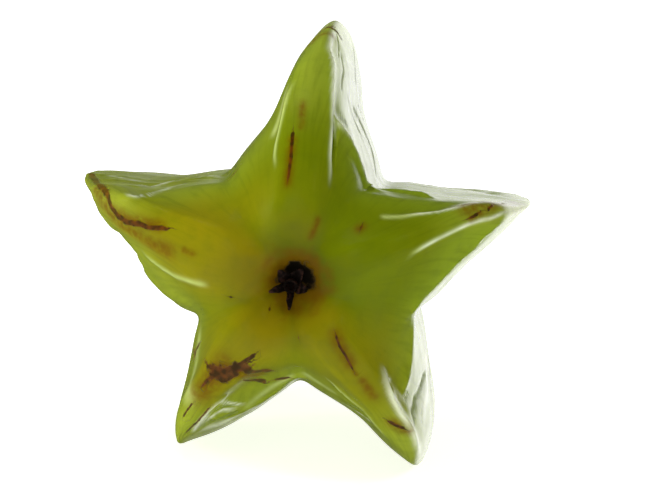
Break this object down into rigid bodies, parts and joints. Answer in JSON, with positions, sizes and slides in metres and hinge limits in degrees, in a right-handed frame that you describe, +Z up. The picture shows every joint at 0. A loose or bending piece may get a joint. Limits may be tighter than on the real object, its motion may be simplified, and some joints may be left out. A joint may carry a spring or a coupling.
{
  "type": "star fruit",
  "caption": "Whole green-yellow star fruit with angular ribs and deep valleys, a stem pit with a dried calyx, and a pointed tip, lying on its lower ribs.",
  "frame": {"origin": "centre of the bounding box, on the surface that the fruit lies on", "axes": "+Y from the stem end towards the tip, +Z up, +X to the right as seen from the stem end"},
  "size_m": [0.0728, 0.1064, 0.0706],
  "materials": {
    "fruit_skin": "waxy, smooth, slightly translucent",
    "dried_stalk": "dry, rough",
    "dried_sepal": "dry, rough, wrinkled"
  },
  "bodies": {
    "root": {"fruit": "fruit_skin", "stalk_stub": "dried_stalk", "sepal_1": "dried_sepal", "sepal_2": "dried_sepal", "sepal_3": "dried_sepal", "sepal_4": "dried_sepal", "sepal_5": "dried_sepal", "style_tip": "dried_stalk"}
  },
  "joints": []
}
